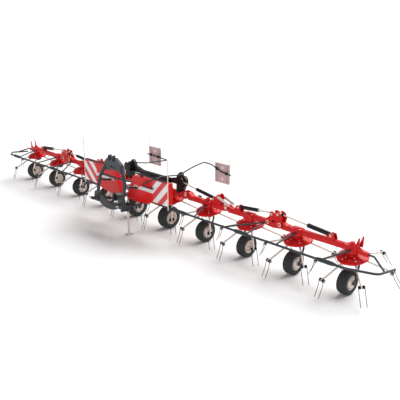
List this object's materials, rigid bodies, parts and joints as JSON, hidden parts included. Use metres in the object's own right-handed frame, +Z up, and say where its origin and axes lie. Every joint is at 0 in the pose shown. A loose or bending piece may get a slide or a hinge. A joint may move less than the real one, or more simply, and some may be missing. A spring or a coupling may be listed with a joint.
{
  "type": "ten-rotor mounted hay tedder",
  "caption": "Wide three-point mounted hay tedder spread for work: tined rotors on a hinged red frame, gauge wheels, front guard, arched headstock and warning boards.",
  "frame": {"origin": "centre of the bounding box at the ground", "axes": "+X along the rotor line to the machine's right-hand wing in the modelled view, -Y towards the tractor, +Z up"},
  "size_m": [10.9096, 2.1879, 1.65],
  "materials": {
    "red_paint": "gloss red paint",
    "charcoal_paint": "satin charcoal paint",
    "black": "satin black",
    "galvanised": "pale zinc plate",
    "white_marking": "matt white sheet",
    "tyre": "matt black rubber"
  },
  "bodies": {
    "machine": {"centre_frame": "red_paint", "centre_guard": "charcoal_paint", "headstock": "charcoal_paint", "stand_socket": "charcoal_paint", "hood_r": "red_paint", "hood_l": "red_paint", "warning_boards": "white_marking", "cross_beam": "black", "rear_signs": "white_marking", "top_lugs": "charcoal_paint", "drive_line": "charcoal_paint", "sign_arms": "charcoal_paint"},
    "stand": {"stand_leg": "galvanised"},
    "inner_r": {"inner_frame_r": "red_paint", "inner_guard_r": "charcoal_paint"},
    "middle_r": {"middle_frame_r": "red_paint", "middle_guard_r": "charcoal_paint"},
    "outer_r": {"outer_frame_r": "red_paint", "outer_guard_r": "charcoal_paint"},
    "star_r": {"fold_bracket_r": "red_paint"},
    "lift_barrel_r": {"lift_barrel_r": "black"},
    "lift_rod_r": {"lift_rod_r": "galvanised"},
    "fold_a_barrel_r": {"fold_a_barrel_r": "black"},
    "fold_a_rod_r": {"fold_a_rod_r": "galvanised"},
    "fold_b_barrel_r": {"fold_b_barrel_r": "black"},
    "fold_b_rod_r": {"fold_b_rod_r": "galvanised"},
    "inner_l": {"inner_frame_l": "red_paint", "inner_guard_l": "charcoal_paint"},
    "middle_l": {"middle_frame_l": "red_paint", "middle_guard_l": "charcoal_paint"},
    "outer_l": {"outer_frame_l": "red_paint", "outer_guard_l": "charcoal_paint"},
    "star_l": {"fold_bracket_l": "red_paint"},
    "lift_barrel_l": {"lift_barrel_l": "black"},
    "lift_rod_l": {"lift_rod_l": "galvanised"},
    "fold_a_barrel_l": {"fold_a_barrel_l": "black"},
    "fold_a_rod_l": {"fold_a_rod_l": "galvanised"},
    "fold_b_barrel_l": {"fold_b_barrel_l": "black"},
    "fold_b_rod_l": {"fold_b_rod_l": "galvanised"},
    "rotor_01": {"rotor_01": "red_paint"},
    "wheel_01": {"wheel_01": "tyre"},
    "rotor_02": {"rotor_02": "red_paint"},
    "wheel_02": {"wheel_02": "tyre"},
    "rotor_03": {"rotor_03": "red_paint"},
    "wheel_03": {"wheel_03": "tyre"},
    "rotor_04": {"rotor_04": "red_paint"},
    "wheel_04": {"wheel_04": "tyre"},
    "rotor_05": {"rotor_05": "red_paint"},
    "wheel_05": {"wheel_05": "tyre"},
    "rotor_06": {"rotor_06": "red_paint"},
    "wheel_06": {"wheel_06": "tyre"},
    "rotor_07": {"rotor_07": "red_paint"},
    "wheel_07": {"wheel_07": "tyre"},
    "rotor_08": {"rotor_08": "red_paint"},
    "wheel_08": {"wheel_08": "tyre"},
    "rotor_09": {"rotor_09": "red_paint"},
    "wheel_09": {"wheel_09": "tyre"},
    "rotor_10": {"rotor_10": "red_paint"},
    "wheel_10": {"wheel_10": "tyre"}
  },
  "joints": [
    {"name": "wing_lift_r", "type": "hinge", "parent": "machine", "child": "inner_r", "pos_m": [1.03, 0.1795, 0.8], "axis": [0, -1, 0], "range_deg": [-4, 87]},
    {"name": "wing_float_r", "type": "hinge", "parent": "inner_r", "child": "middle_r", "pos_m": [2.1, 0.1795, 0.78], "axis": [0, 1, 0], "range_deg": [-6, 6]},
    {"name": "fold_inner_r", "type": "hinge", "parent": "middle_r", "child": "star_r", "pos_m": [3.085, 0.1795, 0.765], "axis": [0, -1, 0], "range_deg": [0, 90]},
    {"name": "fold_outer_r", "type": "hinge", "parent": "star_r", "child": "outer_r", "pos_m": [3.345, 0.1795, 0.775], "axis": [0, -1, 0], "range_deg": [0, 90]},
    {"name": "lift_pivot_r", "type": "hinge", "parent": "inner_r", "child": "lift_barrel_r", "pos_m": [1.76, 0.1795, 0.868], "axis": [0, -1, 0], "range_deg": [-6.59, 1.26]},
    {"name": "lift_stroke_r", "type": "slide", "parent": "lift_barrel_r", "child": "lift_rod_r", "axis": [-0.9899, 0, 0.142], "range_m": [-0.3753, 0.0192]},
    {"name": "fold_a_pivot_r", "type": "hinge", "parent": "middle_r", "child": "fold_a_barrel_r", "pos_m": [2.38, 0.1795, 0.85], "axis": [0, -1, 0], "range_deg": [-6.06, 1]},
    {"name": "fold_a_stroke_r", "type": "slide", "parent": "fold_a_barrel_r", "child": "fold_a_rod_r", "axis": [0.9961, 0, 0.0883], "range_m": [-0.2451, 0.002]},
    {"name": "fold_b_pivot_r", "type": "hinge", "parent": "outer_r", "child": "fold_b_barrel_r", "pos_m": [4.35, 0.1795, 0.845], "axis": [0, -1, 0], "range_deg": [-1, 7.88]},
    {"name": "fold_b_stroke_r", "type": "slide", "parent": "fold_b_barrel_r", "child": "fold_b_rod_r", "axis": [-0.9959, 0, 0.0901], "range_m": [-0.2159, 0.002]},
    {"name": "wing_lift_l", "type": "hinge", "parent": "machine", "child": "inner_l", "pos_m": [-1.03, 0.1795, 0.8], "axis": [0, 1, 0], "range_deg": [-4, 87]},
    {"name": "wing_float_l", "type": "hinge", "parent": "inner_l", "child": "middle_l", "pos_m": [-2.1, 0.1795, 0.78], "axis": [0, -1, 0], "range_deg": [-6, 6]},
    {"name": "fold_inner_l", "type": "hinge", "parent": "middle_l", "child": "star_l", "pos_m": [-3.085, 0.1795, 0.765], "axis": [0, 1, 0], "range_deg": [0, 90]},
    {"name": "fold_outer_l", "type": "hinge", "parent": "star_l", "child": "outer_l", "pos_m": [-3.345, 0.1795, 0.775], "axis": [0, 1, 0], "range_deg": [0, 90]},
    {"name": "lift_pivot_l", "type": "hinge", "parent": "inner_l", "child": "lift_barrel_l", "pos_m": [-1.76, 0.1795, 0.868], "axis": [0, 1, 0], "range_deg": [-6.59, 1.26]},
    {"name": "lift_stroke_l", "type": "slide", "parent": "lift_barrel_l", "child": "lift_rod_l", "axis": [0.9899, 0, 0.142], "range_m": [-0.3753, 0.0192]},
    {"name": "fold_a_pivot_l", "type": "hinge", "parent": "middle_l", "child": "fold_a_barrel_l", "pos_m": [-2.38, 0.1795, 0.85], "axis": [0, 1, 0], "range_deg": [-6.06, 1]},
    {"name": "fold_a_stroke_l", "type": "slide", "parent": "fold_a_barrel_l", "child": "fold_a_rod_l", "axis": [-0.9961, 0, 0.0883], "range_m": [-0.2451, 0.002]},
    {"name": "fold_b_pivot_l", "type": "hinge", "parent": "outer_l", "child": "fold_b_barrel_l", "pos_m": [-4.35, 0.1795, 0.845], "axis": [0, 1, 0], "range_deg": [-1, 7.88]},
    {"name": "fold_b_stroke_l", "type": "slide", "parent": "fold_b_barrel_l", "child": "fold_b_rod_l", "axis": [0.9959, 0, 0.0901], "range_m": [-0.2159, 0.002]},
    {"name": "stand_slide", "type": "slide", "parent": "machine", "child": "stand", "axis": [0, 0, 1], "range_m": [0, 0.3]},
    {"name": "rotor_01_spin", "type": "hinge", "parent": "outer_l", "child": "rotor_01", "pos_m": [-4.725, 0.20477, 0.61], "axis": [0, -0.1908, 0.9816], "continuous": true},
    {"name": "wheel_01_roll", "type": "hinge", "parent": "outer_l", "child": "wheel_01", "pos_m": [-4.725, 0.1095, 0.2025], "axis": [1, 0, 0], "continuous": true},
    {"name": "rotor_02_spin", "type": "hinge", "parent": "outer_l", "child": "rotor_02", "pos_m": [-3.675, 0.20477, 0.61], "axis": [0, -0.1908, 0.9816], "continuous": true},
    {"name": "wheel_02_roll", "type": "hinge", "parent": "outer_l", "child": "wheel_02", "pos_m": [-3.675, 0.1095, 0.2025], "axis": [1, 0, 0], "continuous": true},
    {"name": "rotor_03_spin", "type": "hinge", "parent": "middle_l", "child": "rotor_03", "pos_m": [-2.625, 0.20477, 0.61], "axis": [0, -0.1908, 0.9816], "continuous": true},
    {"name": "wheel_03_roll", "type": "hinge", "parent": "middle_l", "child": "wheel_03", "pos_m": [-2.625, 0.1095, 0.2025], "axis": [1, 0, 0], "continuous": true},
    {"name": "rotor_04_spin", "type": "hinge", "parent": "inner_l", "child": "rotor_04", "pos_m": [-1.575, 0.20477, 0.61], "axis": [0, -0.1908, 0.9816], "continuous": true},
    {"name": "wheel_04_roll", "type": "hinge", "parent": "inner_l", "child": "wheel_04", "pos_m": [-1.575, 0.1095, 0.2025], "axis": [1, 0, 0], "continuous": true},
    {"name": "rotor_05_spin", "type": "hinge", "parent": "machine", "child": "rotor_05", "pos_m": [-0.525, 0.20477, 0.61], "axis": [0, -0.1908, 0.9816], "continuous": true},
    {"name": "wheel_05_roll", "type": "hinge", "parent": "machine", "child": "wheel_05", "pos_m": [-0.525, 0.1095, 0.2275], "axis": [1, 0, 0], "continuous": true},
    {"name": "rotor_06_spin", "type": "hinge", "parent": "machine", "child": "rotor_06", "pos_m": [0.525, 0.20477, 0.61], "axis": [0, -0.1908, 0.9816], "continuous": true},
    {"name": "wheel_06_roll", "type": "hinge", "parent": "machine", "child": "wheel_06", "pos_m": [0.525, 0.1095, 0.2275], "axis": [1, 0, 0], "continuous": true},
    {"name": "rotor_07_spin", "type": "hinge", "parent": "inner_r", "child": "rotor_07", "pos_m": [1.575, 0.20477, 0.61], "axis": [0, -0.1908, 0.9816], "continuous": true},
    {"name": "wheel_07_roll", "type": "hinge", "parent": "inner_r", "child": "wheel_07", "pos_m": [1.575, 0.1095, 0.2025], "axis": [1, 0, 0], "continuous": true},
    {"name": "rotor_08_spin", "type": "hinge", "parent": "middle_r", "child": "rotor_08", "pos_m": [2.625, 0.20477, 0.61], "axis": [0, -0.1908, 0.9816], "continuous": true},
    {"name": "wheel_08_roll", "type": "hinge", "parent": "middle_r", "child": "wheel_08", "pos_m": [2.625, 0.1095, 0.2025], "axis": [1, 0, 0], "continuous": true},
    {"name": "rotor_09_spin", "type": "hinge", "parent": "outer_r", "child": "rotor_09", "pos_m": [3.675, 0.20477, 0.61], "axis": [0, -0.1908, 0.9816], "continuous": true},
    {"name": "wheel_09_roll", "type": "hinge", "parent": "outer_r", "child": "wheel_09", "pos_m": [3.675, 0.1095, 0.2025], "axis": [1, 0, 0], "continuous": true},
    {"name": "rotor_10_spin", "type": "hinge", "parent": "outer_r", "child": "rotor_10", "pos_m": [4.725, 0.20477, 0.61], "axis": [0, -0.1908, 0.9816], "continuous": true},
    {"name": "wheel_10_roll", "type": "hinge", "parent": "outer_r", "child": "wheel_10", "pos_m": [4.725, 0.1095, 0.2025], "axis": [1, 0, 0], "continuous": true}
  ],
  "couplings": [
    {"joint": "fold_outer_r", "follows": "fold_inner_r", "ratio": 1},
    {"joint": "lift_pivot_r", "follows": "wing_lift_r", "ratio": -0.064214},
    {"joint": "lift_stroke_r", "follows": "wing_lift_r", "m_per_rad": -0.24582},
    {"joint": "fold_a_pivot_r", "follows": "fold_inner_r", "ratio": -0.056262},
    {"joint": "fold_a_stroke_r", "follows": "fold_inner_r", "m_per_rad": -0.15476},
    {"joint": "fold_b_pivot_r", "follows": "fold_inner_r", "ratio": 0.076384},
    {"joint": "fold_b_stroke_r", "follows": "fold_inner_r", "m_per_rad": -0.13618},
    {"joint": "fold_outer_l", "follows": "fold_inner_l", "ratio": 1},
    {"joint": "lift_pivot_l", "follows": "wing_lift_l", "ratio": -0.064214},
    {"joint": "lift_stroke_l", "follows": "wing_lift_l", "m_per_rad": -0.24582},
    {"joint": "fold_a_pivot_l", "follows": "fold_inner_l", "ratio": -0.056262},
    {"joint": "fold_a_stroke_l", "follows": "fold_inner_l", "m_per_rad": -0.15476},
    {"joint": "fold_b_pivot_l", "follows": "fold_inner_l", "ratio": 0.076384},
    {"joint": "fold_b_stroke_l", "follows": "fold_inner_l", "m_per_rad": -0.13618},
    {"joint": "rotor_02_spin", "follows": "rotor_01_spin", "ratio": -1},
    {"joint": "rotor_03_spin", "follows": "rotor_01_spin", "ratio": 1},
    {"joint": "rotor_04_spin", "follows": "rotor_01_spin", "ratio": -1},
    {"joint": "rotor_05_spin", "follows": "rotor_01_spin", "ratio": 1},
    {"joint": "rotor_06_spin", "follows": "rotor_01_spin", "ratio": -1},
    {"joint": "rotor_07_spin", "follows": "rotor_01_spin", "ratio": 1},
    {"joint": "rotor_08_spin", "follows": "rotor_01_spin", "ratio": -1},
    {"joint": "rotor_09_spin", "follows": "rotor_01_spin", "ratio": 1},
    {"joint": "rotor_10_spin", "follows": "rotor_01_spin", "ratio": -1}
  ]
}
